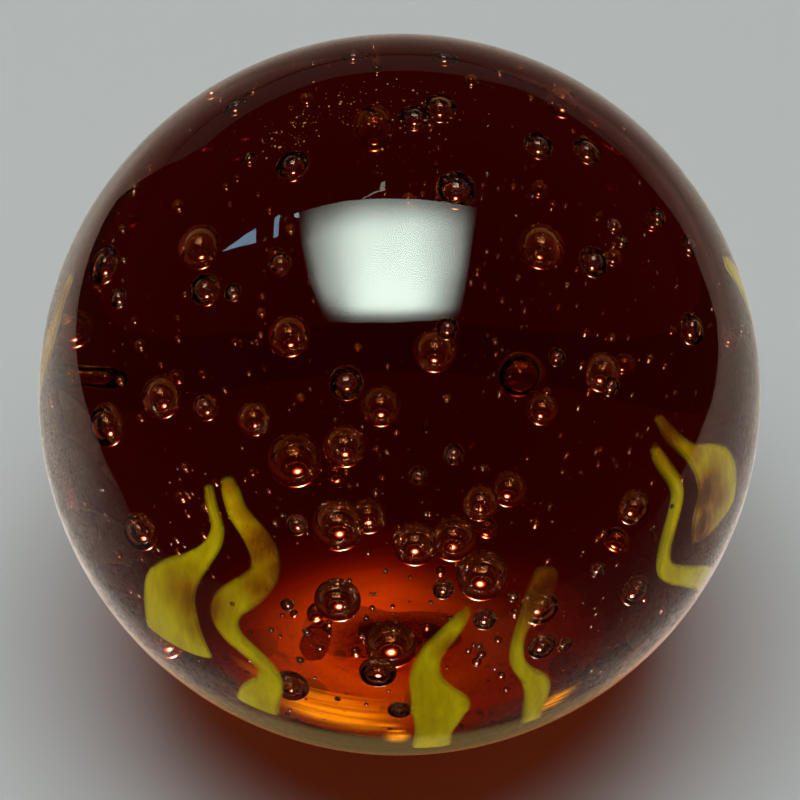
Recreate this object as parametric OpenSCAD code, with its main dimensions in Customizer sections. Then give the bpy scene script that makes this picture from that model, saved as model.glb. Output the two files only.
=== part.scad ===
// A solid glass marble. Dark amber glass, seeded with air bubbles, encloses wavy flames of
// yellow-green glass that stand round its lower half, just under the surface.
// The origin is the ball's centre and +Z is up as the ball lies. A place in the ball is given
// as a longitude (0 at the front, which faces -Y, growing towards +X) and a latitude, in degrees.

/* [Ball] */
// Diameter of the ball, which every other length follows
ball_d = 35; // [25:1:50]

/* [Bubbles] */
// Size of the large bubbles, as a share of their listed diameters
bubble_size = 1; // [0.5:0.05:1.1]
// Number of places tried for the small seed bubbles
seed_tries = 90; // [0:1:120]
// Diameter of the smallest seed bubble
seed_min_d = 0.3; // [0.2:0.05:0.4]
// Diameter of the largest seed bubble
seed_max_d = 0.7; // [0.5:0.05:0.8]

/* [Flames] */
// Half the thickness of a flame at its rounded rims
rim_half = 0.34; // [0.2:0.02:0.36]
// Thickness of the web between the rims, as a share of the rims' thickness
web_share = 0.42; // [0.3:0.02:1]
// How far a flame's rims rise above its middle, as a share of its width
cup_share = 0.05; // [0:0.01:0.08]

/* [Hidden] */
design_d = 35;
unit = ball_d / design_d;
ball_r = ball_d / 2;
golden_angle = 137.508;
golden_ratio = 0.618034;
silver_ratio = 0.414214;
clear_gap = 0.35 * unit;
rings_per_span = 3;
step_aside = 0.05;
ball_fn = 96;
bubble_fn = 24;
seed_fn = 16;

AMBER = [0.42, 0.12, 0.03, 0.55];
GREEN = [0.62, 0.60, 0.08];

// The large bubbles: longitude, latitude, distance from the centre and diameter.
BUBBLES = [
    // top of the ball
    [-105, 71, 14, 1.5], [169, 77, 14.5, 1.4], [164, 62, 12, 1.4], [70, 80, 14.5, 1.8],
    [114, 64, 14.5, 1.4], [120, 49, 13, 1.3], [-166, 58, 15.5, 1.2], [166, 59, 15.5, 1.3],
    [-130, 53, 15, 1.2], [-98, 44, 10.5, 1.8], [-70, 50, 13, 1.4], [72, 54, 14.5, 1.4],
    [96, 56, 9.5, 1.8], [16, 60, 14.5, 1], [-14, 51, 14.5, 1.5], [-64, 64, 12, 1],
    // right side
    [50, 39, 15, 0.9], [68, 31, 9.5, 1.5], [95, 44, 15.5, 0.9], [81, 28, 13.5, 1.4],
    [56, 28, 7, 1.2], [52, 8, 11.5, 1.4], [49, -11, 12, 1.3], [37, 7, 13.5, 0.7],
    // left side
    [-58, 53, 8, 1.6], [-66, 25, 11, 1.7], [-52, 33, 11.5, 1.1], [-72, 12, 12, 1.7],
    [-48, 31, 8.5, 1.3], [-96, 29, 13.5, 1.7], [-83, 34, 14, 0.9], [-54, 2, 12.5, 1.6],
    // middle
    [25, 62, 6.5, 1.6], [-10, 45, 5.5, 1.5], [-40, 16, 6, 2], [-19, 33, 7.5, 1.6],
    [-10, 7, 6.5, 1.3], [22, 18, 8.5, 1.4], [37, 8, 6.5, 1.3],
    // front, low down
    [-16, 13, 8.5, 2], [-22, 20, 11.5, 0.9], [4, 9, 8.5, 1.7], [16, 0, 7, 1.7],
    [19, 1, 9.5, 2], [-13, 0, 10.5, 1.8], [-20, 7, 13.5, 0.6], [-4, -11, 12.5, 1.5],
    [-2, -21, 9.5, 1.9], [-23, -28, 11.5, 1.4], [8, 12, 13, 0.9], [15, 5, 13.5, 1],
    [28, -3, 11.5, 1.6], [26, -8, 13, 1.2], [29, -6, 14, 0.7], [0, -17, 14, 1],
    // back and underside
    [150, 20, 11, 1.3], [-150, 14, 12, 1.2], [-176, -4, 10, 1.2], [128, -12, 12, 1.4],
    [-120, -18, 11, 1.2], [60, -50, 12, 1.2], [-70, -48, 11, 1.3], [160, -46, 12.5, 1.2],
    // small ones close to the surface
    [-15, 7, 15.5, 0.4], [20, 10, 14, 0.5], [13, 3, 15, 0.3], [14, -2, 14, 0.4],
    [-10, -9, 15.5, 0.3], [-16, 0, 15.5, 0.4], [-1, 6, 14, 0.4], [-59, 55, 14, 0.8],
    [44, 48, 14, 0.8], [4, 36, 14, 0.8], [12, 39, 14, 0.9], [98, 32, 14, 1],
    [-110, 62, 14, 0.7], [-141, 48, 14, 0.7], [-111, 35, 14, 0.8], [86, 49, 14, 0.6]
];

// The routes of the flames, from tip to foot: longitude, latitude, width, depth of the
// middle under the surface, and twist out of the surface in degrees.
LEFT_FLAME = [
    [-35, 29, 0.5, 0.9, 0], [-33.2, 26, 0.6, 0.9, 0], [-31.4, 23.4, 0.7, 0.9, 0],
    [-31.4, 20.4, 0.9, 1, 0], [-32.6, 17.4, 1.1, 1.1, 0], [-34.7, 13.8, 1.6, 1.1, 0],
    [-37, 10, 2.4, 1.2, 0], [-38.2, 6, 3.2, 1.2, 0], [-38.1, 1.5, 3.6, 1.2, 0],
    [-37.6, -3, 4, 1.2, 0], [-37, -6.5, 4.3, 1.2, 0]
];
LEFT_WISP = [
    [-33.4, 30.5, 0.6, 1.9, 0], [-31.7, 28.6, 1, 1.9, 15], [-29.7, 26, 1.1, 1.9, 20],
    [-27.2, 24.2, 1.2, 1.9, 20], [-24.8, 22.4, 1.4, 1.9, 20], [-23, 19.6, 1.5, 1.9, 20],
    [-22.8, 16.4, 1.6, 1.8, 10], [-25.4, 12.2, 1.8, 1.7, 0], [-28, 8.8, 1.8, 1.6, 0],
    [-28.4, 5.2, 1.6, 1.5, 0], [-26.8, 2.4, 1.3, 1.4, 0], [-23.6, 0.2, 1.1, 1.3, 0],
    [-21, -2.6, 1.2, 1.3, 0], [-20.8, -6.5, 1.6, 1.3, 0], [-22.6, -11, 2.2, 1.3, 0],
    [-24, -17, 2.4, 1.3, 0]
];
FRONT_FLAME = [
    [11, 14.6, 0.5, 1.1, 0], [9.6, 12.4, 0.8, 1.1, 0], [7.4, 9.6, 1.1, 1.1, 0], [5, 6, 1.3, 1.2, 0],
    [4, 2.4, 1.6, 1.2, 0], [4.2, -1, 1.8, 1.2, 0], [5.3, -4.6, 2.4, 1.2, 0], [6.4, -8, 3.1, 1.2, 0],
    [6.2, -12, 2.6, 1.2, 0], [5.6, -18, 2, 1.2, 0], [5.6, -26, 2.1, 1.2, 0]
];
FRONT_WISP = [
    [24.5, 18, 1.2, 1.3, 0], [23, 14.5, 1.6, 1.3, 0], [20.8, 10.8, 1.1, 1.3, 0], [19, 7, 0.7, 1.2, 0],
    [18.4, 3.6, 0.8, 1.2, 0], [18.6, 0.2, 0.9, 1.2, 0], [20, -3, 1, 1.2, 0], [21.8, -6.4, 1.5, 1.2, 0],
    [22.3, -10.5, 1.5, 1.2, 0], [22.2, -15.5, 1.3, 1.2, 0], [22.8, -22, 1.2, 1.2, 0]
];
RIGHT_FLAME = [
    [53, 31.5, 0.5, 0.9, 0], [53.4, 29, 0.7, 0.9, 0], [54.2, 26.4, 0.9, 0.9, 0], [55.5, 23.8, 0.9, 1, 0],
    [57.2, 20.8, 1.2, 1, 0], [59.4, 17.2, 2.1, 1.1, 0], [60.8, 13.4, 3.4, 1.1, 0], [60.8, 9.6, 4.5, 1.2, 0],
    [60, 6, 4.7, 1.2, 0], [59.4, 3, 4.3, 1.2, 0]
];
RIGHT_WISP = [
    [50, 27.4, 0.5, 1.2, 0], [50.2, 25.2, 0.8, 1.2, 0], [50.8, 22.6, 0.9, 1.2, 0],
    [51.6, 19.8, 0.9, 1.2, 0], [51.6, 17, 0.9, 1.2, 0], [50, 14.4, 0.9, 1.2, 0], [47.8, 11.8, 1, 1.1, 0],
    [46.2, 8.6, 1, 1.1, 0], [46, 5.4, 1.1, 1.1, 0], [47.8, 2.4, 1.2, 1.1, 0], [51.4, -1.4, 1.3, 1.1, 0],
    [55.4, -6, 1.5, 1.1, 0], [59, -11, 1.6, 1.1, 0]
];
SIDE_WISP = [
    [96, 27, 0.9, 0.9, 0], [97, 23, 1.5, 1, 0], [98, 18, 2, 1.1, 0], [97, 12, 1.7, 1.1, 0],
    [95, 6, 1.6, 1.1, 0], [95, -1, 2, 1.1, 0], [97, -8, 2.6, 1.2, 0], [98, -15, 2.6, 1.2, 0]
];
SIDE_FLAME = [
    [117, 29, 0.8, 0.9, 0], [115, 25, 1.4, 1, 0], [113, 20, 2, 1.1, 0], [112, 14, 2.6, 1.2, 0],
    [113, 7, 3, 1.2, 0], [115, 0, 3.2, 1.2, 0], [114, -8, 3, 1.2, 0], [112, -15, 2.8, 1.2, 0]
];
FAR_FLAME = [
    [-93, 27, 0.8, 0.9, 0], [-91, 23, 1.4, 1, 0], [-88, 18, 1.9, 1.1, 0], [-87, 12, 2.3, 1.1, 0],
    [-89, 5, 2.8, 1.2, 0], [-91, -3, 3, 1.2, 0], [-90, -11, 2.8, 1.2, 0], [-89, -17, 2.6, 1.2, 0]
];
// The back flames share one route, given about their own middle longitude.
BACK_FLAME = [
    [2, 25, 0.8, 1, 0], [-1, 20, 1.6, 1.1, 0], [-3, 14, 2.4, 1.2, 0], [-1, 7, 2.8, 1.2, 0],
    [2, 0, 3, 1.2, 0], [3, -8, 3, 1.2, 0], [0, -16, 2.8, 1.2, 0]
];
BACK_LONGITUDES = [148, 186, 228];
ROUTES = [
    LEFT_FLAME, LEFT_WISP, FRONT_FLAME, FRONT_WISP, RIGHT_FLAME, RIGHT_WISP, SIDE_WISP,
    SIDE_FLAME, FAR_FLAME, back_route(0), back_route(1), back_route(2)
];

// A flame's cross-section: across its width, then through its thickness, each from -1 to 1.
SECTION = [
    [1, 0], [0.75, 1], [0, web_share], [-0.75, 1],
    [-1, 0], [-0.75, -1], [0, -web_share], [0.75, -1]
];

function fraction(x) = x - floor(x);
function unit_vector(v) = v / norm(v);
function direction(lon, lat) = [sin(lon) * cos(lat), -cos(lon) * cos(lat), sin(lat)];

// The route of one back flame, turned to its own longitude.
function back_route(i) = [for (stop = BACK_FLAME) stop + [BACK_LONGITUDES[i], 0, 0, 0, 0]];

// A smooth curve through the stops a, b, c and d, at the share t of the way from b to c.
function smooth(a, b, c, d, t) =
    b + t / 2 * (c - a + t * (2 * a - 5 * b + 4 * c - d + t * (3 * (b - c) + d - a)));

// The stop that lies s spans along a route.
function stop_at(route, s) =
    let (last = len(route) - 1)
    let (i = max(0, min(floor(s), last - 1)))
    smooth(route[max(i - 1, 0)], route[i], route[i + 1], route[min(i + 2, last)], s - i);

// The middle of a flame at a stop.
function middle(stop) = (ball_r - stop[3] * unit) * direction(stop[0], stop[1]);

// The way a flame runs s spans along its route.
function run_at(route, s) =
    unit_vector(middle(stop_at(route, s + step_aside)) - middle(stop_at(route, s - step_aside)));

// The cross-section of a flame s spans along its route, bent to follow the ball.
function ring(route, s) =
    let (
        stop = stop_at(route, s),
        run = run_at(route, s),
        out = direction(stop[0], stop[1]),
        side = unit_vector(cross(run, out)),
        across = cos(stop[4]) * side + sin(stop[4]) * cross(side, run),
        through = cross(across, run),
        half_w = stop[2] * unit / 2,
        bow = 2 * cup_share * half_w - half_w * half_w / ball_d
    )
    [for (p = SECTION) middle(stop) + p[0] * half_w * across
        + (p[1] * rim_half * unit + p[0] * p[0] * bow) * through];

// A point just past the end of a flame, which closes it with a blunt tip.
function end_point(route, s, way) =
    let (stop = stop_at(route, s))
    middle(stop) + way * 0.15 * stop[2] * unit * run_at(route, s);

// The small bubbles: places on a golden spiral that lie clear of all else.
function seed_place(i) =
    let (
        up = 2 * (i + 0.5) / max(seed_tries, 1) - 1,
        flat = sqrt(1 - up * up),
        turn = i * golden_angle,
        out = (0.45 + 0.46 * fraction(i * silver_ratio)) * ball_r
    )
    out * [flat * cos(turn), flat * sin(turn), up];
function seed_diameter(i) =
    (seed_min_d + (seed_max_d - seed_min_d) * pow(fraction(i * golden_ratio), 2)) * unit;
function clear_of_bubbles(p, r) =
    min([for (b = BUBBLES)
        norm(p - unit * b[2] * direction(b[0], b[1])) - unit * b[3] / 2]) > r + clear_gap;
function clear_of_flames(p, r) =
    min([for (route = ROUTES, s = [0 : 0.5 : len(route) - 1])
        let (stop = stop_at(route, s))
        norm(p - middle(stop)) - unit * stop[2] / 2]) > r + clear_gap;
SEEDS = seed_tries == 0 ? [] : [
    for (i = [0 : seed_tries - 1])
        let (p = seed_place(i), r = seed_diameter(i) / 2)
        if (clear_of_bubbles(p, r) && clear_of_flames(p, r)) [p, r]
];

// One flame: its cross-sections joined in order and closed at both ends.
module flame_solid(route) {
    spans = len(route) - 1;
    rings = spans * rings_per_span;
    sides = len(SECTION);
    tip = (rings + 1) * sides;
    points = [
        for (i = [0 : rings]) each ring(route, i / rings_per_span),
        end_point(route, 0, -1),
        end_point(route, spans, 1)
    ];
    walls = [
        for (i = [0 : rings - 1], j = [0 : sides - 1])
            let (a = i * sides + j, b = i * sides + (j + 1) % sides)
            each [[a, b, b + sides], [a, b + sides, a + sides]]
    ];
    ends = [
        for (j = [0 : sides - 1])
            let (k = (j + 1) % sides)
            each [[k, j, tip], [rings * sides + j, rings * sides + k, tip + 1]]
    ];
    polyhedron(points = points, faces = concat(walls, ends));
}

module bubble_voids() {
    for (b = BUBBLES)
        translate(unit * b[2] * direction(b[0], b[1]))
            sphere(d = b[3] * bubble_size * unit, $fn = bubble_fn);
    for (seed = SEEDS)
        translate(seed[0]) sphere(r = seed[1], $fn = seed_fn);
}

module glass_body() {
    color(AMBER) difference() {
        sphere(d = ball_d, $fn = ball_fn);
        bubble_voids();
        for (route = ROUTES) flame_solid(route);
    }
}

module left_flame() { color(GREEN) flame_solid(LEFT_FLAME); }
module left_wisp() { color(GREEN) flame_solid(LEFT_WISP); }
module front_flame() { color(GREEN) flame_solid(FRONT_FLAME); }
module front_wisp() { color(GREEN) flame_solid(FRONT_WISP); }
module right_flame() { color(GREEN) flame_solid(RIGHT_FLAME); }
module right_wisp() { color(GREEN) flame_solid(RIGHT_WISP); }
module side_wisp() { color(GREEN) flame_solid(SIDE_WISP); }
module side_flame() { color(GREEN) flame_solid(SIDE_FLAME); }
module far_flame() { color(GREEN) flame_solid(FAR_FLAME); }
module back_flame(i) { color(GREEN) flame_solid(back_route(i)); }

glass_body();
left_flame();
left_wisp();
front_flame();
front_wisp();
right_flame();
right_wisp();
side_wisp();
side_flame();
far_flame();
back_flame(0);  // back_flame_1
back_flame(1);  // back_flame_2
back_flame(2);  // back_flame_3
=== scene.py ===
"""A solid glass marble: dark amber glass with air bubbles and yellow-green flames inside.

Everything is in metres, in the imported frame: the origin is the ball's centre, +Z is up and
the front faces -Y. A way from the centre is given as a longitude (0 at the front, growing
towards +X) and a latitude, in degrees.
"""

import math
import random

import bmesh
import bpy
import numpy as np
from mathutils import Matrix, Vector, noise
from mathutils.kdtree import KDTree


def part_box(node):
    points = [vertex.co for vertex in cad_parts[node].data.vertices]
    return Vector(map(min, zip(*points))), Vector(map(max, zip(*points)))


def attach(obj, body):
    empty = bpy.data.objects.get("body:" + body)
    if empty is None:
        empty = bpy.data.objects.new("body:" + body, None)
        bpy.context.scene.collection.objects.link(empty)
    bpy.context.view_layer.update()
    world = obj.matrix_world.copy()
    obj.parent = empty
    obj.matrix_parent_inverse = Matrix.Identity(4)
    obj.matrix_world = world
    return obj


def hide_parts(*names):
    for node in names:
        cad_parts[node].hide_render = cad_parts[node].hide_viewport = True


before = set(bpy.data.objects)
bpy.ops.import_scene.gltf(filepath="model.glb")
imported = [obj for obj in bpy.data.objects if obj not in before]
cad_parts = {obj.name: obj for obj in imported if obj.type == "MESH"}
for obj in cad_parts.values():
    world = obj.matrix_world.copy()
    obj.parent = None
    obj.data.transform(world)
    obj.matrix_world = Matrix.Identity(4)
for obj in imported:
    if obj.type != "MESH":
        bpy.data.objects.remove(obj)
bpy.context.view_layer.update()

MM = 0.001
BODY = "root"
BALL_NODE = "glass_body"
FLAME_NODES = [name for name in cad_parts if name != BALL_NODE]

ball_low, ball_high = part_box(BALL_NODE)
BALL_R = (ball_high - ball_low).z / 2
FLOOR_Z = ball_low.z

# The camera, and where it puts the ball in the picture
CAMERA_ELEVATION = math.radians(50)
CAMERA_LENS = 150
SENSOR_WIDTH = 36
BALL_SHARE = 361 / 400
AIM_RIGHT = 0.024 * MM
AIM_UP = -0.267 * MM

# The glass
GLASS_IOR = 1.5
AMBER_PER_MM = (0.060, 0.118, 0.200)
# How finely the ball, its larger and smaller bubbles and the dust are rounded
BALL_DETAIL = 7
LARGE_BUBBLE_DETAIL = 4
SMALL_BUBBLE_DETAIL = 3
DUST_DETAIL = 1
LARGE_BUBBLE_R = 0.6 * MM
# Bubbles too fine for the CAD: how many in all and in a group, how far a group spreads in
# mm, and how near the skin they come, as a share of the ball's radius
DUST_COUNT = 1100
DUST_GROUPS = (1, 1, 2, 5)
DUST_SPREAD = 0.7
DUST_LIMIT = 0.955
SPECK_COUNT = 170
SPECK_COLOURS = (
    (0.35, (0.08, 0.06, 0.01)), (0.5, (0.24, 0.21, 0.05)), (0.65, (0.15, 0.08, 0.02)),
)
SPECK_BAND = ((-106, 69), (-130, 73), (-160, 76), (150, 77), (-129, 84))
# What the light of the room loses at the ball's skin, from square on to grazing
SHADE = (
    (0.0, (1.0, 0.80, 0.60)), (0.25, (0.95, 0.70, 0.48)), (0.5, (0.70, 0.42, 0.25)),
    (0.8, (0.50, 0.34, 0.20)), (1.0, (0.50, 0.34, 0.20)),
)
# Light that has crossed more skins than this, or has been mirrored, has met a bubble
SKINS_TO_FLOOR = 2.5

# Where the flames' glass is drawn out thin: longitude, latitude, reach in mm and how thin
THIN_PLACES = (
    (-32.8, 7.5, 1.7, 0.72), (-31.6, 1.3, 1.1, 0.55), (-33.9, 12.8, 0.8, 0.4),
    (-20.9, 22.9, 1.7, 0.9), (-22.2, 14.3, 1.2, 0.7), (-26.4, 27.4, 1.0, 0.6),
    (-30.8, 29.9, 0.8, 0.5), (-18.9, 18.7, 1.3, 0.95), (7, -4, 6.0, 0.2),
    (8.4, 6.5, 1.1, 0.6), (10.8, 13.5, 0.8, 0.6), (23.7, 14.2, 2.3, 1.0),
    (22.4, 9.6, 1.0, 0.75), (58.1, 11.7, 1.6, 0.85), (55.9, 6.3, 1.5, 0.9), (60.5, 7.7, 1.2, 0.7),
    (54.3, 28.8, 2.0, 0.85), (57.8, 22.1, 1.2, 0.6), (48.5, 26.5, 1.6, 0.6), (-38, -8, 1.3, 0.2),
    (-91, 21, 2.8, 0.62), (-85.5, 12, 2.4, 0.55),
)

# The green glass, from thick to thin: its colour, and how far it is seen through
FLAME_COLOURS = (
    (0.0, (0.78, 0.76, 0.010)), (0.25, (0.58, 0.52, 0.005)), (0.5, (0.50, 0.34, 0.004)),
    (0.75, (0.38, 0.17, 0.005)), (1.0, (0.26, 0.08, 0.004)),
)
FLAME_CLEARNESS = ((0.0, 0.0), (0.3, 0.03), (0.55, 0.18), (0.8, 0.5), (1.0, 0.82))
CLEAR_PAST_BUBBLES = 0.93
# Painted light: the green glass glows a little in its own colour
FLAME_GLOW = 0.19
FLAME_SHINE_THROUGH = 0.3
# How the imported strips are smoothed: the distance that welds corners, the angle that joins
# triangles, and the rounds of rounding
WELD = 1e-6
JOIN_ANGLE = 1.2
ROUNDINGS = 2
# How far the strips' outline runs out into the amber, in mm, and how that varies
SOFT_REACH = 0.34
SOFT_VARIES = 0.3
SOFT_SCALE = 420
SOFT_RIM = 0.55
FLAME_STREAKS = (900, 900, 180)
FLAME_WANDER = (0.9, -0.42)

# The room: a lit panel overhead, a pale sheet under the ball and darkness beyond it.
# Places on the panel are shares of its height, from front to back. Places on the floor are
# in ball radii.
PANEL_HEIGHT = 0.35
PANEL_ROWS = (
    ((-0.418, -0.310), (-0.250, -0.332), (-0.030, -0.340), (0.170, -0.325), (0.330, -0.296)),
    ((-0.482, -0.060), (-0.270, -0.080), (-0.040, -0.090), (0.180, -0.080), (0.347, -0.100)),
    ((-0.518, 0.190), (-0.300, 0.180), (-0.050, 0.170), (0.180, 0.180), (0.372, 0.200)),
    ((-0.538, 0.416), (-0.270, 0.406), (-0.030, 0.386), (0.200, 0.385), (0.399, 0.396)),
)
# How bright it is across it and along it, by its shares from 0 to 1
PANEL_ACROSS = (
    (0, 0), (0.035, 0.07), (0.09, 0.27), (0.15, 0.40), (0.21, 0.54), (0.265, 0.72), (0.32, 0.86),
    (0.38, 1), (0.61, 1), (0.67, 0.88), (0.725, 0.75), (0.78, 0.6), (0.84, 0.45), (0.9, 0.3),
    (0.955, 0.1), (1, 0),
)
PANEL_ALONG = (
    (0, 0.05), (0.05, 0.25), (0.09, 0.68), (0.13, 0.96), (0.18, 1), (0.27, 1), (0.42, 0.94),
    (0.6, 0.86), (0.7, 0.8), (0.77, 0.66), (0.84, 0.48), (0.9, 0.34), (0.94, 0.25), (1, 0.16),
)
# Its front corners are dimmer: the right one, then the left one
PANEL_CORNERS = (
    (((0.72, 0), (0.95, 1)), ((0.06, 1), (0.3, 0.5), (0.42, 0)), 0.6),
    (((0.08, 1), (0.28, 0)), ((0.1, 1), (0.22, 0)), 0.5),
)
# The area light's reach
PANEL_LIGHT_X = (-0.43, 0.37)
PANEL_LIGHT_Y = (-0.31, 0.41)
PANEL_RADIANCE = 5.0
PANEL_COLOUR = (0.84, 1.0, 0.88)
PANEL_SHINE = 24.0
# How the card shines on what lies inside the ball: across it, along it, and at its middle
PANEL_INSIDE_COLOUR = (1, 0.95, 0.9)
PANEL_INSIDE_ACROSS = (
    (0.0, 0.5), (0.3, 0.8), (0.45, 1.0), (0.55, 2.0), (0.7, 2.6), (0.8, 2.4), (0.9, 1.0),
    (1.0, 0.6),
)
PANEL_INSIDE_ALONG = (
    (0.0, 0.3), (0.06, 0.5), (0.12, 1.1), (0.2, 1.5), (0.3, 0.8), (0.4, 0.2), (1.0, 0.15),
)
PANEL_PAST_BUBBLES = 0.04
PANEL_CORE = 2400.0
PANEL_CORE_COLOUR = (1, 1.7, 14)
PANEL_CORE_ACROSS = ((0.4, 0), (0.5, 1), (0.6, 0))
PANEL_CORE_ALONG = ((0.45, 0), (0.55, 1), (0.65, 0))
# The room's fill, what a mirror shows of it, and how it looks through the ball, by the rise
# over the horizon
FILL = 0.01
ROOM_MIRRORED = 0.004
ROOM_COLOUR = (1, 0.5, 0.55)
ROOM_RISE = ((-0.1, 0.14), (0.1, 0.16), (0.4, 0.08), (0.6, 0.04), (1.0, 0.04))
# The glints of the room and the far floor in the bubbles: by the rise, and by ball radii
GLINT_COLOUR = (1, 0.9, 1.4)
GLINT_RISE = ((-0.3, 0.04), (0.0, 0.14), (0.25, 0.2), (0.4, 0.1), (1.0, 0.02))
GLINT_AWAY = ((4, 0), (9, 0.08), (16, 0.35), (40, 0.35))
FLOOR_REACH = 3.0
FLOOR_COLOUR = (0.62, 0.66, 0.65)
FLOOR_MIRRORED = (0.01, 0.01, 0.01)
BACKDROP_COLOUR = (0.62, 0.66, 0.65)

# The pale sheet's edge, round the ball's foot
SHEET = (
    (-2.2, -3.0), (-3.0, -1.25), (-3.8, -0.86), (-4.55, 0.14), (-4.45, 1.1), (-3.96, 2.4),
    (-3.55, 3.5), (-3.53, 4.0), (-5.5, 6.7), (-15.0, 19.7), (20.0, 25.0), (7.65, 6.86),
    (6.5, 4.34), (4.96, 2.36), (4.7, 1.1), (4.84, 0.1), (4.2, -1.1), (3.5, -1.76), (2.5, -3.0),
)
# Painted light and shade on the sheet as the ball's skin mirrors it, in ball radii: how bright
# it is by the way back from the ball, by the distance from it, by the way to the side, and in
# the gap before its foot
MIRROR_BACK = (
    (-1.5, 0.1), (-1.2, 0.15), (-1.0, 0.25), (-0.7, 0.36), (-0.35, 0.6), (0.0, 0.9), (0.5, 1.0),
)
MIRROR_AWAY = (
    (0.5, 16.0), (0.7, 10.0), (0.9, 4.6), (1.0, 4.0), (1.15, 3.0), (1.3, 1.9), (1.5, 1.35),
    (2.0, 1.05), (2.5, 0.98), (3.0, 0.88), (3.5, 0.78), (4.0, 0.6), (5.0, 0.38), (6.5, 0.29),
    (9.0, 0.22), (20.0, 0.2),
)
MIRROR_SIDE = ((-4.0, 1.45), (-2.0, 1.45), (-1.5, 1.0), (3.2, 1.0), (4.2, 1.9))
MIRROR_GAP = ((0.3, 0.1), (0.6, 0.4), (0.85, 1.0))
MIRROR_GAP_BACK = ((-0.8, 0), (-0.2, 1))
# Its colour by the distance, warmer far off, where red light from inside the glass at the ball's
# rim is painted in
MIRROR_COLOURS = (
    (1.0, (0.66, 0.60, 0.53)), (3.0, (0.66, 0.58, 0.49)), (4.5, (0.86, 0.58, 0.46)),
    (8.0, (1.0, 0.56, 0.42)),
)
# The sheet's fibres: the slope and offset of their noise, and how dark they get
FIBRE_SCALE = 700.0
FIBRE_CONTRAST = (4.4, -1.2)
FIBRE_LEAST = 0.15
# Light that has come through the ball onto the sheet before its foot, mirrored at the rim
STRAY_COLOUR = (0.34, 0.24, 0.085)
STRAY_AWAY = ((0.3, 0.1), (0.6, 0.5), (0.85, 1), (0.95, 1), (1.02, 0))
STRAY_BACK = ((-1, 1), (-0.4, 0.7), (-0.2, 0.5), (0, 0.4), (0.3, 0))
# The dim far side of the room, over the sheet's back edge: azimuth from +Y and elevation of
# its upper edge, then its distance in ball radii
FAR_WALL = (
    (-37, 3), (-34.4, 7.9), (-27, 8.4), (-20, 9.3), (-10, 9.4), (-3, 10.1), (4.5, 9.5),
    (12.5, 7.9), (18, 4.6), (25, 3.1), (32, 1), (38, -3),
)
FAR_WALL_AWAY = 25
FAR_WALL_DROP = 0.06
FAR_WALL_COLOUR = (1, 0.92, 0.8)
FAR_WALL_LIGHT = 0.07
# Small bright openings beside the panel, in the panel's plane: their corners and light
OPENINGS = (
    (((-1.238, 0.458), (-0.857, 0.458), (-0.853, 0.335), (-1.082, 0.410)), (2.4, 4.2, 5.6)),
    (((-0.701, 0.464), (-0.663, 0.461), (-0.672, 0.305), (-0.710, 0.307)), (2.2, 3.8, 5.0)),
    (((-0.564, 0.420), (-0.532, 0.421), (-0.530, 0.375), (-0.556, 0.386)), (4, 6, 7)),
    (((-0.090, 0.511), (-0.071, 0.525), (-0.070, 0.453), (-0.099, 0.439)), (3, 3, 2.6)),
    (((-0.177, 0.407), (-0.104, 0.456), (-0.099, 0.446), (-0.175, 0.400)), (3, 3, 2.6)),
)

# How the floor looks through the ball, a painted pool of light at its foot and painted
# shadow round it: distance from its foot, and light
FLOOR_LOOK = (
    (0.0, (60, 480, 6000)), (0.05, (60, 440, 4000)), (0.09, (40, 60, 90)), (0.16, (9, 2.8, 0.5)),
    (0.26, (0.4, 0.04, 0.004)),
    (0.34, (0.16, 0.010, 0)), (0.95, (0.14, 0.008, 0)), (1.1, (0.17, 0.04, 0.04)),
    (1.4, (0.24, 0.06, 0.06)), (3.0, (0.20, 0.05, 0.05)), (5.0, (0.05, 0.02, 0.02)),
)
RING_SIDES = 96
# Rings of light round the foot, where the ball gathers it: radius, then height and light
GATHER_RINGS = (
    (0.54, (
        (0.0, (0, 0, 0)), (0.047, (0, 0, 0)), (0.0505, (0.9, 0.45, 0.02)),
        (0.058, (1.35, 0.85, 0.05)), (0.067, (0.9, 0.55, 0.03)), (0.08, (0.4, 0.12, 0.005)),
        (0.1, (0.14, 0.012, 0)), (0.13, (0, 0, 0)),
    )),
    (0.62, (
        (0.0, (1.7, 0.6, 0.05)), (0.0095, (1.7, 0.6, 0.05)), (0.013, (1.15, 0.36, 0.03)),
        (0.02, (0.75, 0.2, 0.02)), (0.03, (0.3, 0.04, 0)), (0.05, (0.08, 0.004, 0)),
        (0.07, (0, 0, 0)),
    )),
)
# How bright they are round the foot, in degrees from +Y
GATHER_ROUND = (
    (-16, 0.7), (-9, 0.9), (-5, 1.2), (-2, 1.2), (0, 0.9), (3, 0.5), (5, 0.25), (9, 0.2),
    (13, 0.35), (18, 0.7),
)
GATHER_STREAKS = (220, 220, 2600)
GATHER_CONTRAST = (3.4, -0.7)
# Painted shade: dark strips on the sheet behind the foot, which break the gathered light:
# distance, then azimuth from +Y and height
PAINTED_SHADE_STRIPS = (
    (0.58, (
        (-9, 0.026), (-8.3, 0.034), (-7.3, 0.043), (-6.2, 0.041), (-5.1, 0.040), (-3, 0.034),
        (-1, 0.0305), (0, 0.0300), (2.3, 0.0315), (4.5, 0.034), (5.3, 0.028), (6.5, 0.0),
    )),
    (0.52, (
        (-11.5, 0), (-10.4, 0.060), (-9.2, 0.068), (-8, 0.067), (-6.8, 0.062), (-5.6, 0.050),
        (-4, 0),
    )),
)
PAINTED_SHADE_COLOUR = (1, 0.15, 0.02)
PAINTED_SHADE_LIGHT = 0.12
# A dark washer round the foot: its inner and outer radius, and its height over the floor
SHADED_RADII = (0.668, 0.738)
SHADED_HEIGHT = 0.25
SHADED_COLOUR = (1, 0.1, 0.02)
SHADED_LIGHT = 0.1
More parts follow.
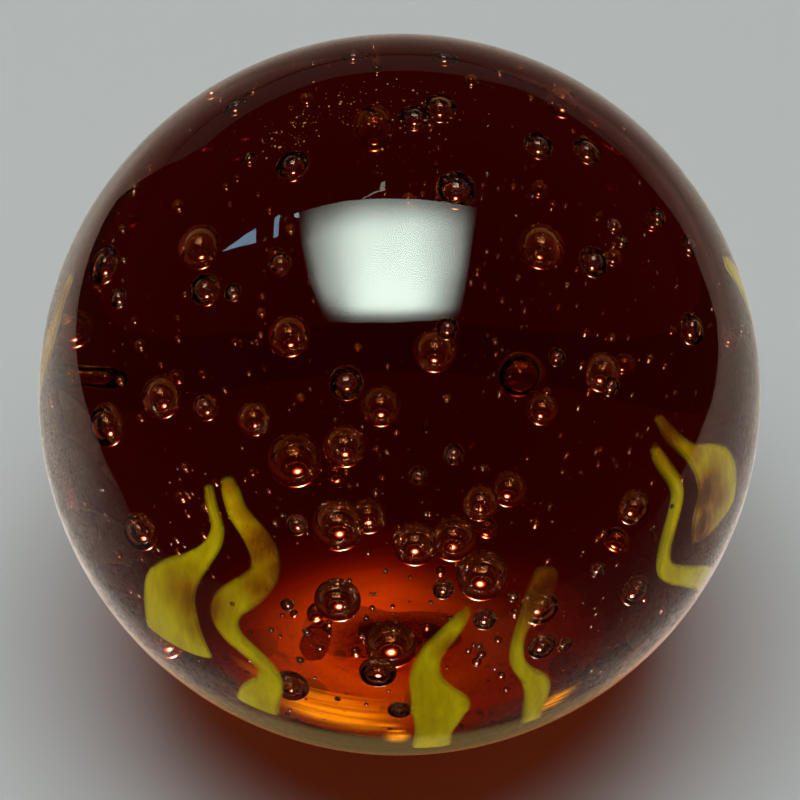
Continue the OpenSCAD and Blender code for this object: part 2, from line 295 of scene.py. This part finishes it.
# Lit spots low down behind the ball: distance, azimuth from +Y, width, heights, light
FAR_SPOTS = (
    (1.0, 2.1, 5.2, -0.04, 0.19, 5.5), (1.0, 0.1, 1.3, 0.15, 0.26, 5.5),
    (1.6, 12, 12, 0.05, 0.45, 0.4), (1.6, 0.9, 2.6, 0.12, 0.17, 5.0),
    (1.6, 0.3, 2.0, 0.19, 0.23, 5.0), (1.6, -0.3, 1.5, 0.25, 0.31, 5.0),
    (1.6, -13.0, 4.6, 0.14, 0.36, 7.0), (1.6, -22, 5, 0.1, 0.5, 0.5),
    (1.6, 26, 6, 0.1, 0.5, 0.4),
)
SPOT_COLOUR = (1, 1.6, 0.1)
SPOT_SOFTNESS = ((0, 0), (0.15, 0.2), (0.35, 0.9), (0.5, 1), (0.65, 0.9), (0.85, 0.2), (1, 0))
SPOT_STREAKS = (450, 450, 1400)
SPOT_CONTRAST = (5.0, -1.6)
SPOT_LEAST = 0.1

# How often a ray of light may bounce
LIGHT_BOUNCES = 24
MIRROR_BOUNCES = 12

random.seed(7)


# ---------------------------------------------------------------- places


def direction(lon, lat):
    """The way from the ball's centre at a longitude and latitude in degrees."""
    lon, lat = math.radians(lon), math.radians(lat)
    return Vector((math.sin(lon) * math.cos(lat), -math.cos(lon) * math.cos(lat), math.sin(lat)))


def on_floor(x, y):
    """A place on the floor, in ball radii from the ball's foot."""
    return Vector((x * BALL_R, y * BALL_R, FLOOR_Z))


def on_panel(x, y):
    """A place at the panel's height, in shares of that height."""
    return Vector((x * PANEL_HEIGHT, y * PANEL_HEIGHT, PANEL_HEIGHT))


def upright(away, azimuth, low, high):
    """A low and a high point over each other: their distance from the ball's foot and their
    heights over the floor in ball radii, and their azimuth in degrees from +Y."""
    turn = math.radians(azimuth)
    foot = on_floor(away * math.sin(turn), away * math.cos(turn))
    return [foot + Vector((0, 0, height * BALL_R)) for height in (low, high)]


# ---------------------------------------------------------------- meshes and nodes


def new_piece(name, mesh):
    piece = bpy.data.objects.new(name, mesh)
    bpy.context.collection.objects.link(piece)
    return piece


def mesh_of(name, points, faces):
    mesh = bpy.data.meshes.new(name)
    mesh.from_pydata(points, [], faces)
    return mesh


def strip_mesh(name, strips):
    """A mesh of strips, each given by the pairs of points that it runs through."""
    points, faces = [], []
    for pairs in strips:
        first = len(points)
        points += [point for pair in pairs for point in pair]
        faces += [(k, k + 2, k + 3, k + 1) for k in range(first, len(points) - 2, 2)]
    return mesh_of(name, points, faces)


def new_material(name):
    """A material with an empty node tree, and its output node."""
    material = bpy.data.materials.new(name)
    material.use_nodes = True
    tree = material.node_tree
    tree.nodes.clear()
    return material, tree, tree.nodes.new("ShaderNodeOutputMaterial")


def feed(tree, socket, value):
    """Links an input to the output that feeds it, or sets it to a plain value."""
    if isinstance(value, bpy.types.NodeSocket):
        tree.links.new(value, socket)
    else:
        socket.default_value = value


def shader(tree, kind, **inputs):
    """A node of this kind with the inputs given by name, underscores standing for spaces."""
    node = tree.nodes.new("ShaderNode" + kind)
    for name, value in inputs.items():
        feed(tree, node.inputs[name.replace("_", " ")], value)
    return node


def maths(tree, operation, *values):
    """The result of a Math node fed by sockets or numbers."""
    node = tree.nodes.new("ShaderNodeMath")
    node.operation = operation
    for socket, value in zip(node.inputs, values):
        feed(tree, socket, value)
    return node.outputs[0]


def product(tree, *factors):
    """All the factors, sockets or numbers, multiplied in order."""
    result = factors[0]
    for factor in factors[1:]:
        result = maths(tree, "MULTIPLY", result, factor)
    return result


def scaled(tree, colour, factor):
    """A colour times a number."""
    node = tree.nodes.new("ShaderNodeVectorMath")
    node.operation = "SCALE"
    feed(tree, node.inputs[0], colour)
    feed(tree, node.inputs["Scale"], factor)
    return node.outputs[0]


def ramp_through(tree, source, stops):
    """The colour on a ramp of (value, colour) stops, at the value of a socket, and the
    factor that brings it to full strength."""
    low, high = stops[0][0], stops[-1][0]
    full = max(max(colour) for _, colour in stops)
    spread = shader(tree, "MapRange", From_Min=low, From_Max=high, Value=source)
    ramp = shader(tree, "ValToRGB", Fac=spread.outputs[0])
    marks = ramp.color_ramp.elements
    for _ in stops[2:]:
        marks.new(0.5)
    for mark, (value, colour) in zip(marks, stops):
        mark.position = (value - low) / (high - low)
        mark.color = (*[c / full for c in colour], 1)
    return ramp.outputs["Color"], full


def level(tree, source, points):
    """The height of a line of (value, height) points, at the value of a socket."""
    return product(tree, *ramp_through(tree, source, [(x, (y, y, y)) for x, y in points]))


def blend(tree, share, first, second):
    """The first shader, with the second one in its place by a share."""
    mix = tree.nodes.new("ShaderNodeMixShader")
    for socket, value in zip(mix.inputs, (share, first.outputs[0], second.outputs[0])):
        feed(tree, socket, value)
    return mix


def together(tree, first, second):
    """The light of two shaders added up."""
    both = tree.nodes.new("ShaderNodeAddShader")
    for socket, part in zip(both.inputs, (first, second)):
        feed(tree, socket, part.outputs[0])
    return both


def swap_for(tree, ray, usual, instead):
    """A shader that is `instead` for one kind of ray and `usual` for all others."""
    path = tree.nodes.new("ShaderNodeLightPath")
    return blend(tree, path.outputs[ray], usual, instead)


def past_a_bubble(tree):
    """1 for light that has met a bubble on its way through the ball, and 0 for the rest."""
    path = tree.nodes.new("ShaderNodeLightPath")
    crossed = maths(tree, "GREATER_THAN", path.outputs["Transmission Depth"], SKINS_TO_FLOOR)
    mirrored = maths(tree, "GREATER_THAN", path.outputs["Glossy Depth"], 0.5)
    return maths(tree, "MAXIMUM", crossed, mirrored)


def attribute(tree, name):
    """The node that reads a mesh's own values by their name."""
    node = tree.nodes.new("ShaderNodeAttribute")
    node.attribute_name = name
    return node


def share_parts(tree):
    """The node that gives the place on a mesh by its own shares, from 0 to 1."""
    shares = tree.nodes.new("ShaderNodeUVMap")
    shares.uv_map = "share"
    return shader(tree, "SeparateXYZ", Vector=shares.outputs[0])


def ball_place(tree):
    """The shaded point's coordinates, and in ball radii its distance from the ball's foot
    and its height over the floor."""
    place = tree.nodes.new("ShaderNodeNewGeometry")
    parts = shader(tree, "SeparateXYZ", Vector=place.outputs["Position"])
    x, y, z = parts.outputs
    squares = maths(tree, "ADD", product(tree, x, x), product(tree, y, y))
    away = product(tree, maths(tree, "SQRT", squares), 1 / BALL_R)
    height = maths(tree, "MULTIPLY_ADD", z, 1 / BALL_R, -FLOOR_Z / BALL_R)
    return x, y, away, height


def streaks(tree, stretch, detail, roughness, distortion):
    """Noise with its own scale along each axis of the piece."""
    coords = tree.nodes.new("ShaderNodeTexCoord")
    drawn = shader(tree, "Mapping", Vector=coords.outputs["Object"], Scale=stretch)
    grain = shader(
        tree, "TexNoise", Vector=drawn.outputs[0],
        Scale=1.0, Detail=detail, Roughness=roughness, Distortion=distortion,
    )
    return grain.outputs["Fac"]


def uneven(tree, grain, contrast, least):
    """Noise spread out by a slope and an offset, and cut off below a least value."""
    return maths(tree, "MAXIMUM", maths(tree, "MULTIPLY_ADD", grain, *contrast), least)


def plain_glow(name, colour, strength):
    """A material that shines evenly in one colour."""
    material, tree, out = new_material(name)
    glow = shader(tree, "Emission", Color=(*colour, 1), Strength=strength)
    feed(tree, out.inputs["Surface"], glow.outputs[0])
    return material


def extra_light(tree, out, colour, strength):
    """Light that is added to whatever lies behind it."""
    glow = shader(tree, "Emission", Color=colour, Strength=strength)
    clear = shader(tree, "BsdfTransparent", Color=(1, 1, 1, 1))
    feed(tree, out.inputs["Surface"], together(tree, glow, clear).outputs[0])


def only_through_glass(piece):
    piece.visible_camera = piece.visible_diffuse = False
    piece.visible_glossy = piece.visible_shadow = False


def only_in_mirrors(piece):
    piece.visible_camera = piece.visible_diffuse = False
    piece.visible_transmission = piece.visible_shadow = False


# ---------------------------------------------------------------- camera, room and light


def add_camera():
    data = bpy.data.cameras.new("camera")
    data.lens = CAMERA_LENS
    data.sensor_width = SENSOR_WIDTH
    data.clip_start = 0.001
    camera = bpy.data.objects.new("camera", data)
    bpy.context.collection.objects.link(camera)
    back = Vector((0, -math.cos(CAMERA_ELEVATION), math.sin(CAMERA_ELEVATION)))
    up = Vector((0, math.sin(CAMERA_ELEVATION), math.cos(CAMERA_ELEVATION)))
    distance = BALL_R / math.sin(math.atan(BALL_SHARE * SENSOR_WIDTH / 2 / CAMERA_LENS))
    camera.location = AIM_RIGHT * Vector((1, 0, 0)) + AIM_UP * up + distance * back
    camera.rotation_euler = (math.pi / 2 - CAMERA_ELEVATION, 0, 0)
    bpy.context.scene.camera = camera


def mirrored_sheet(tree, x, y, away):
    """The pale sheet as the ball's skin mirrors it: its fibres, under painted light and shade
    that set how bright it is by the distance, the way back, the way to the side and the gap
    before its foot, with painted red light far off, and the light that has come through the
    ball onto the sheet before its foot."""
    across, along = product(tree, x, 1 / BALL_R), product(tree, y, 1 / BALL_R)
    fibres = shader(
        tree, "TexNoise", Scale=FIBRE_SCALE, Detail=5.0, Roughness=0.75, Distortion=2.0
    )
    gap = level(tree, maths(tree, "ABSOLUTE", across), MIRROR_GAP)
    gap = maths(tree, "MAXIMUM", gap, level(tree, along, MIRROR_GAP_BACK))
    bright = product(
        tree, uneven(tree, fibres.outputs["Fac"], FIBRE_CONTRAST, FIBRE_LEAST),
        level(tree, along, MIRROR_BACK), level(tree, across, MIRROR_SIDE),
        level(tree, away, MIRROR_AWAY), gap,
    )
    hue, full = ramp_through(tree, away, MIRROR_COLOURS)
    pale = shader(tree, "BsdfDiffuse", Color=scaled(tree, hue, product(tree, bright, full)))
    stray_light = product(tree, level(tree, away, STRAY_AWAY), level(tree, along, STRAY_BACK))
    stray = shader(tree, "Emission", Color=(*STRAY_COLOUR, 1), Strength=stray_light)
    return together(tree, pale, stray)


def floor_material(name, is_sheet):
    """A plain pale floor, with painted light and shade of its own in mirrors and through the ball.
    """
    material, tree, out = new_material(name)
    plain = shader(tree, "BsdfDiffuse", Color=(*FLOOR_COLOUR, 1))
    x, y, away, height = ball_place(tree)
    hue, full = ramp_through(tree, away, FLOOR_LOOK)
    glow = shader(tree, "Emission", Color=hue, Strength=full)
    glint_light = product(tree, past_a_bubble(tree), level(tree, away, GLINT_AWAY))
    glints = shader(tree, "Emission", Color=(*GLINT_COLOUR, 1), Strength=glint_light)
    if is_sheet:
        mirrored = mirrored_sheet(tree, x, y, away)
    else:
        mirrored = shader(tree, "BsdfDiffuse", Color=(*FLOOR_MIRRORED, 1))
    look = swap_for(tree, "Is Glossy Ray", plain, mirrored)
    look = swap_for(tree, "Is Transmission Ray", look, together(tree, glow, glints))
    feed(tree, out.inputs["Surface"], look.outputs[0])
    return material


def add_floor():
    """A pale sheet round the ball, and the same floor beyond it, which mirrors dark."""
    edge = [on_floor(*corner) for corner in SHEET]
    sides = ((-1, -1), (-1, 1), (1, 1), (1, -1))
    corners = [(x * FLOOR_REACH, y * FLOOR_REACH, FLOOR_Z) for x, y in sides]
    work = bmesh.new()
    edges = []
    for outline in (edge, corners):
        ring = [work.verts.new(place) for place in outline]
        edges += [work.edges.new(pair) for pair in zip(ring, ring[1:] + ring[:1])]
    bmesh.ops.triangle_fill(work, edges=edges, use_beauty=True)
    beyond = bpy.data.meshes.new("floor_beyond")
    work.to_mesh(beyond)
    work.free()
    sheet = mesh_of("floor_sheet", edge, [range(len(edge))])
    for mesh, is_sheet in ((sheet, True), (beyond, False)):
        piece = new_piece(mesh.name, mesh)
        mesh.materials.append(floor_material(mesh.name, is_sheet))


def add_far_wall():
    """The dim far side of the room, which only the ball's skin mirrors."""
    far = FAR_WALL_AWAY * BALL_R
    pairs = []
    for azimuth, rise in FAR_WALL:
        turn, top = math.radians(azimuth), far * math.tan(math.radians(rise))
        x, y = far * math.sin(turn), far * math.cos(turn)
        pairs.append(((x, y, FLOOR_Z - FAR_WALL_DROP), (x, y, top)))
    wall = new_piece("far_wall", strip_mesh("far_wall", [pairs]))
    wall.data.materials.append(plain_glow("far_wall", FAR_WALL_COLOUR, FAR_WALL_LIGHT))
    only_in_mirrors(wall)


def add_openings():
    """Small bright openings beside the panel, which only the ball's skin mirrors."""
    points, faces, lights = [], [], []
    for corners, light in OPENINGS:
        faces.append(range(len(points), len(points) + len(corners)))
        points += [on_panel(*corner) for corner in corners]
        lights += light
    mesh = mesh_of("openings", points, faces)
    own = mesh.attributes.new("light", "FLOAT_VECTOR", "FACE")
    own.data.foreach_set("vector", lights)
    piece = new_piece("openings", mesh)
    material, tree, out = new_material("openings")
    light = attribute(tree, "light").outputs["Vector"]
    glow = shader(tree, "Emission", Color=light, Strength=1.0)
    feed(tree, out.inputs["Surface"], glow.outputs[0])
    mesh.materials.append(material)
    only_in_mirrors(piece)


def add_gathered_light():
    """Low rings of light round the foot of the ball, seen only through the ball."""
    for radius, look in GATHER_RINGS:
        tall = look[-1][0]
        pairs = [upright(radius, 360 * i / RING_SIDES, 0, tall) for i in range(RING_SIDES + 1)]
        ring = new_piece("gathered_light", strip_mesh("gathered_light", [pairs]))
        material, tree, out = new_material("gathered_light")
        x, y, away, height = ball_place(tree)
        hue, full = ramp_through(tree, height, look)
        grain = streaks(tree, GATHER_STREAKS, 3.0, 0.6, 0.6)
        light = product(tree, uneven(tree, grain, GATHER_CONTRAST, 0), full)
        azimuth = maths(tree, "DEGREES", maths(tree, "ARCTAN2", x, y))
        extra_light(tree, out, hue, product(tree, light, level(tree, azimuth, GATHER_ROUND)))
        ring.data.materials.append(material)
        only_through_glass(ring)


def add_painted_shade_strips():
    """Painted shade: dark strips on the sheet just behind the foot of the ball, seen only through
    it.
    """
    strips = [
        [upright(away, azimuth, 0, height) for azimuth, height in outline]
        for away, outline in PAINTED_SHADE_STRIPS
    ]
    painted_shade_strips = new_piece("painted_shade_strips", strip_mesh("painted_shade_strips", strips))
    painted_shade_strips.data.materials.append(plain_glow("painted_shade_strips", PAINTED_SHADE_COLOUR, PAINTED_SHADE_LIGHT))
    only_through_glass(painted_shade_strips)


def add_shaded_zone():
    """A dark washer behind the ball, which no gathered light crosses, seen only through it."""
    pairs = [
        [upright(radius, 360 * i / RING_SIDES, 0, SHADED_HEIGHT)[1] for radius in SHADED_RADII]
        for i in range(RING_SIDES + 1)
    ]
    washer = new_piece("shaded_zone", strip_mesh("shaded_zone", [pairs]))
    washer.data.materials.append(plain_glow("shaded_zone", SHADED_COLOUR, SHADED_LIGHT))
    only_through_glass(washer)


def add_far_lights():
    """Soft spots of light low down behind the ball, seen only through the ball."""
    strips = [
        [upright(away, azimuth + side * width, low, high) for side in (-0.5, 0.5)]
        for away, azimuth, width, low, high, light in FAR_SPOTS
    ]
    mesh = strip_mesh("far_lights", strips)
    shares = mesh.uv_layers.new(name="share")
    for loop in mesh.loops:
        shares.data[loop.index].uv = ((0, 0), (1, 0), (1, 1), (0, 1))[loop.index % 4]
    own = mesh.attributes.new("light", "FLOAT", "FACE")
    own.data.foreach_set("value", [spot[-1] for spot in FAR_SPOTS])
    spots = new_piece("far_lights", mesh)
    material, tree, out = new_material("far_lights")
    parts = share_parts(tree)
    across = level(tree, parts.outputs["X"], SPOT_SOFTNESS)
    along = level(tree, parts.outputs["Y"], SPOT_SOFTNESS)
    grain = streaks(tree, SPOT_STREAKS, 4.0, 0.65, 0.8)
    uneven_light = uneven(tree, grain, SPOT_CONTRAST, SPOT_LEAST)
    strength = product(tree, across, along, attribute(tree, "light").outputs["Fac"], uneven_light)
    extra_light(tree, out, (*SPOT_COLOUR, 1), strength)
    mesh.materials.append(material)
    only_through_glass(spots)


def panel_material():
    """The panel shines most near its front middle and fades towards its sides and its back.
    It shines in another way on what lies inside the ball than on the ball's skin."""
    material, tree, out = new_material("panel_card")
    parts = share_parts(tree)

    def crossing(across, along):
        """The product of a line of heights across the card and one along it."""
        return product(
            tree, level(tree, parts.outputs["X"], across), level(tree, parts.outputs["Y"], along)
        )

    strength = product(tree, crossing(PANEL_ACROSS, PANEL_ALONG), PANEL_SHINE)
    for across, along, loss in PANEL_CORNERS:
        kept = maths(tree, "MULTIPLY_ADD", crossing(across, along), -loss, 1)
        strength = product(tree, strength, kept)
    glow = shader(tree, "Emission", Color=(*PANEL_COLOUR, 1), Strength=strength)
    path = tree.nodes.new("ShaderNodeLightPath")
    direct = maths(tree, "LESS_THAN", path.outputs["Transmission Depth"], SKINS_TO_FLOOR)
    direct = maths(tree, "MAXIMUM", direct, PANEL_PAST_BUBBLES)
    lit = product(tree, crossing(PANEL_INSIDE_ACROSS, PANEL_INSIDE_ALONG), direct, PANEL_SHINE)
    inside = shader(tree, "Emission", Color=(*PANEL_INSIDE_COLOUR, 1), Strength=lit)
    core = product(tree, crossing(PANEL_CORE_ACROSS, PANEL_CORE_ALONG), PANEL_CORE)
    middle = shader(tree, "Emission", Color=(*PANEL_CORE_COLOUR, 1), Strength=core)
    look = swap_for(tree, "Is Transmission Ray", glow, together(tree, inside, middle))
    feed(tree, out.inputs["Surface"], look.outputs[0])
    return material


def add_panel():
    """The overhead panel: an area light for the light it gives, and a card for how it shines."""
    x0, x1 = [x * PANEL_HEIGHT for x in PANEL_LIGHT_X]
    y0, y1 = [y * PANEL_HEIGHT for y in PANEL_LIGHT_Y]
    width, depth = x1 - x0, y1 - y0
    light = bpy.data.lights.new("panel_light", "AREA")
    light.shape = "RECTANGLE"
    light.size, light.size_y = width, depth
    light.energy = PANEL_RADIANCE * math.pi * width * depth
    lamp = bpy.data.objects.new("panel_light", light)
    bpy.context.collection.objects.link(lamp)
    lamp.location = ((x0 + x1) / 2, (y0 + y1) / 2, PANEL_HEIGHT)
    lamp.visible_camera = lamp.visible_glossy = lamp.visible_transmission = False

    columns, rows = len(PANEL_ROWS[0]), len(PANEL_ROWS)
    places = [on_panel(*place) for row in PANEL_ROWS for place in row]
    firsts = [j * columns + i for j in range(rows - 1) for i in range(columns - 1)]
    faces = [(k, k + 1, k + 1 + columns, k + columns) for k in firsts]
    mesh = mesh_of("panel_card", places, faces)
    shares = mesh.uv_layers.new(name="share")
    for loop in mesh.loops:
        row, column = divmod(loop.vertex_index, columns)
        shares.data[loop.index].uv = (column / (columns - 1), row / (rows - 1))
    card = new_piece("panel_card", mesh)
    mesh.materials.append(panel_material())
    card.visible_camera = card.visible_diffuse = card.visible_shadow = False


def add_world():
    """A soft fill for the light, a dark room for gloss, and a pale wall for the camera."""
    world = bpy.data.worlds.new("room")
    bpy.context.scene.world = world
    world.use_nodes = True
    tree = world.node_tree
    tree.nodes.clear()
    out = tree.nodes.new("ShaderNodeOutputWorld")
    way = tree.nodes.new("ShaderNodeTexCoord")
    rise = shader(tree, "SeparateXYZ", Vector=way.outputs["Generated"]).outputs["Z"]

    def background(colour, strength):
        return shader(tree, "Background", Color=(*colour, 1), Strength=strength)

    through = background(ROOM_COLOUR, level(tree, rise, ROOM_RISE))
    glint_light = product(tree, past_a_bubble(tree), level(tree, rise, GLINT_RISE))
    through = together(tree, through, background(GLINT_COLOUR, glint_light))
    look = background((1, 1, 1), FILL)
    look = swap_for(tree, "Is Glossy Ray", look, background((1, 1, 1), ROOM_MIRRORED))
    look = swap_for(tree, "Is Transmission Ray", look, through)
    look = swap_for(tree, "Is Camera Ray", look, background(BACKDROP_COLOUR, 1))
    feed(tree, out.inputs["Surface"], look.outputs[0])


# ---------------------------------------------------------------- the glass


def loose_parts(mesh):
    """The points of each loose part of a mesh, after its split corners are welded."""
    work = bmesh.new()
    work.from_mesh(mesh)
    bmesh.ops.remove_doubles(work, verts=work.verts, dist=WELD)
    work.verts.index_update()
    places = np.array([v.co[:] for v in work.verts])
    ends = np.array([[v.index for v in e.verts] for e in work.edges])
    work.free()
    label = np.arange(len(places))
    while True:
        low = np.minimum(label[ends[:, 0]], label[ends[:, 1]])
        lower = label.copy()
        np.minimum.at(lower, ends[:, 0], low)
        np.minimum.at(lower, ends[:, 1], low)
        lower = lower[lower]
        if (lower == label).all():
            return [places[label == k] for k in np.unique(label)]
        label = lower


def measured_bubbles():
    """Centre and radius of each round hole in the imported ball."""
    bubbles = []
    for points in loose_parts(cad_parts[BALL_NODE].data):
        low, high = points.min(0), points.max(0)
        size = high - low
        if size.max() < BALL_R and size.max() - size.min() < 0.02 * size.max():
            bubbles.append((Vector((low + high) / 2), size.max() / 2))
    return bubbles


def globe_pattern(detail):
    """The points and faces of a round ball of radius 1."""
    work = bmesh.new()
    bmesh.ops.create_icosphere(work, subdivisions=detail, radius=1)
    points = [v.co.copy() for v in work.verts]
    faces = [[v.index for v in face.verts] for face in work.faces]
    work.free()
    return points, faces


def add_globe(points, faces, pattern, centre, radius, hollow):
    """Adds a ball to lists of points and faces, turned inside out if it is a hole."""
    first = len(points)
    own_points, own_faces = pattern
    points.extend(centre + p * radius for p in own_points)
    for face in own_faces:
        corners = [first + k for k in face]
        faces.append(corners[::-1] if hollow else corners)


def glass_material():
    """Clear glass that takes its colour from its depth. Light for what lies inside and
    behind it passes straight through."""
    material, tree, out = new_material("amber_glass_look")
    glass = shader(
        tree, "BsdfPrincipled",
        Base_Color=(1, 1, 1, 1), Roughness=0.0, IOR=GLASS_IOR, Transmission_Weight=1.0,
    )
    edge = shader(tree, "LayerWeight", Blend=0.5)
    shade, full = ramp_through(tree, edge.outputs["Facing"], SHADE)
    clear = shader(tree, "BsdfTransparent", Color=scaled(tree, shade, full))
    look = swap_for(tree, "Is Shadow Ray", glass, clear)
    look = swap_for(tree, "Is Diffuse Ray", look, clear)
    feed(tree, out.inputs["Surface"], look.outputs[0])

    density = max(AMBER_PER_MM) / MM * 1.05
    hue = (*[1 - a / MM / density for a in AMBER_PER_MM], 1)
    depth = shader(tree, "VolumeAbsorption", Density=density, Color=hue)
    feed(tree, out.inputs["Volume"], depth.outputs[0])
    return material


def seeds():
    """Centre and radius of bubbles too small to measure, spread through the glass."""
    specks = []
    while len(specks) < DUST_COUNT:
        way = Vector((random.gauss(0, 1), random.gauss(0, 1), random.gauss(0, 1))).normalized()
        place = way * BALL_R * (0.25 + 0.71 * random.random() ** 0.5)
        for _ in range(random.choice(DUST_GROUPS)):
            near = place + Vector([random.gauss(0, DUST_SPREAD) * MM for _ in range(3)])
            if near.length < DUST_LIMIT * BALL_R:
                specks.append((near, MM * (0.035 + 0.13 * random.random() ** 2.2)))
    return specks[:DUST_COUNT]


def add_marble():
    large, small = globe_pattern(LARGE_BUBBLE_DETAIL), globe_pattern(SMALL_BUBBLE_DETAIL)
    dust = globe_pattern(DUST_DETAIL)
    points, faces = [], []
    add_globe(points, faces, globe_pattern(BALL_DETAIL), Vector(), BALL_R, False)
    for centre, radius in measured_bubbles():
        pattern = large if radius > LARGE_BUBBLE_R else small
        add_globe(points, faces, pattern, centre, radius, True)
    for centre, radius in seeds():
        add_globe(points, faces, dust, centre, radius, True)
    mesh = mesh_of("marble", points, faces)
    mesh.polygons.foreach_set("use_smooth", [True] * len(faces))
    marble = new_piece("marble", mesh)
    mesh.materials.append(glass_material())
    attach(marble, BODY)
    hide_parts(BALL_NODE)


def speck_material():
    material, tree, out = new_material("green_specks_look")
    coords = tree.nodes.new("ShaderNodeTexCoord")
    spread = shader(tree, "TexNoise", Vector=coords.outputs["Object"], Scale=900.0, Detail=0.0)
    colour, _ = ramp_through(tree, spread.outputs["Fac"], SPECK_COLOURS)
    solid = shader(tree, "BsdfPrincipled", Base_Color=colour, Roughness=0.5)
    feed(tree, out.inputs["Surface"], solid.outputs[0])
    return material


def add_specks():
    """A loose cloud of tiny specks of the green glass, under the ball's top."""
    pattern = globe_pattern(DUST_DETAIL)
    points, faces = [], []
    for _ in range(SPECK_COUNT):
        k = random.randrange(len(SPECK_BAND) - 1)
        way = direction(*SPECK_BAND[k]).lerp(direction(*SPECK_BAND[k + 1]), random.random())
        way += Vector([random.gauss(0, 0.025 + 0.02 * k) for _ in range(3)])
        place = way.normalized() * BALL_R * random.uniform(0.86, 0.965)
        add_globe(points, faces, pattern, place, MM * (0.016 + 0.05 * random.random() ** 3), False)
    mesh = mesh_of("green_specks", points, faces)
    specks = new_piece("green_specks", mesh)
    mesh.materials.append(speck_material())
    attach(specks, BODY)


# ---------------------------------------------------------------- the flames


def flame_material():
    """Yellow-green glass that is lime where it is thick, and olive to brown and see-through
    where it is drawn out thin."""
    material, tree, out = new_material("green_glass_look")
    thin = attribute(tree, "thin").outputs["Fac"]
    grain = streaks(tree, FLAME_STREAKS, 4.0, 0.6, 0.0)
    wander = maths(tree, "MULTIPLY_ADD", grain, *FLAME_WANDER)
    mixed = maths(tree, "ADD", thin, wander)
    colour, _ = ramp_through(tree, mixed, FLAME_COLOURS)
    solid = shader(
        tree, "BsdfPrincipled", Base_Color=colour, Roughness=0.35, Specular_IOR_Level=0.0
    )

    front = shader(tree, "BsdfDiffuse", Color=colour)
    back = shader(tree, "BsdfTranslucent", Color=colour)
    # Painted light: the glass glows a little in its own colour
    gathered = shader(tree, "Emission", Color=colour, Strength=FLAME_GLOW)
    lit = together(tree, blend(tree, FLAME_SHINE_THROUGH, front, back), gathered)
    clear = shader(tree, "BsdfTransparent", Color=(1, 1, 1, 1))
    soft = attribute(tree, "soft").outputs["Fac"]
    seen_through = maths(tree, "MAXIMUM", level(tree, mixed, FLAME_CLEARNESS), soft)
    past = product(tree, past_a_bubble(tree), CLEAR_PAST_BUBBLES)
    film = blend(tree, maths(tree, "MAXIMUM", seen_through, past), lit, clear)
    look = swap_for(tree, "Is Transmission Ray", solid, film)
    feed(tree, out.inputs["Surface"], look.outputs[0])
    return material


def thinness(place):
    """How thin the green glass is at a place, from 0 to 1."""
    thin = 0.0
    for lon, lat, reach, amount in THIN_PLACES:
        away = (place.normalized() - direction(lon, lat)).length * BALL_R / MM
        thin = max(thin, amount * math.exp(-((away / reach) ** 2) * 0.9))
    return thin


def softness(mesh):
    """How far the green glass has run out into the amber, from 1 at its outline to 0 inside."""
    rim = [v.co for v in mesh.vertices if abs(v.normal.dot(v.co.normalized())) < SOFT_RIM]
    tree = KDTree(len(rim))
    for k, place in enumerate(rim):
        tree.insert(place, k)
    tree.balance()
    values = []
    for v in mesh.vertices:
        reach = (SOFT_REACH + SOFT_VARIES * noise.noise(v.co * SOFT_SCALE)) * MM
        near = max(0.0, 1 - tree.find(v.co)[2] / reach)
        values.append(near * near * (3 - 2 * near))
    return values


def add_flames():
    material = flame_material()
    for name in FLAME_NODES:
        work = bmesh.new()
        work.from_mesh(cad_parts[name].data)
        bmesh.ops.remove_doubles(work, verts=work.verts, dist=WELD)
        bmesh.ops.join_triangles(
            work, faces=work.faces,
            angle_face_threshold=JOIN_ANGLE, angle_shape_threshold=JOIN_ANGLE,
        )
        rough = bpy.data.meshes.new(name + "_rough")
        work.to_mesh(rough)
        work.free()
        flame = new_piece(name + "_glass", rough)
        smooth = flame.modifiers.new("smooth", "SUBSURF")
        smooth.levels = smooth.render_levels = ROUNDINGS
        rounded = flame.evaluated_get(bpy.context.evaluated_depsgraph_get())
        mesh = bpy.data.meshes.new_from_object(rounded)
        flame.modifiers.clear()
        flame.data = mesh
        mesh.materials.clear()
        mesh.materials.append(material)
        for face in mesh.polygons:
            face.use_smooth = True
        thin = mesh.attributes.new("thin", "FLOAT", "POINT")
        thin.data.foreach_set("value", [thinness(v.co) for v in mesh.vertices])
        soft = mesh.attributes.new("soft", "FLOAT", "POINT")
        soft.data.foreach_set("value", softness(mesh))
        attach(flame, BODY)
        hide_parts(name)


scene = bpy.context.scene
scene.view_settings.view_transform = "Standard"
scene.cycles.caustics_reflective = False
scene.cycles.caustics_refractive = False
scene.cycles.max_bounces = LIGHT_BOUNCES
scene.cycles.transmission_bounces = LIGHT_BOUNCES
scene.cycles.glossy_bounces = MIRROR_BOUNCES
scene.cycles.transparent_max_bounces = LIGHT_BOUNCES

add_camera()
add_world()
add_floor()
add_far_wall()
add_openings()
add_gathered_light()
add_painted_shade_strips()
add_shaded_zone()
add_far_lights()
add_panel()
add_marble()
add_specks()
add_flames()
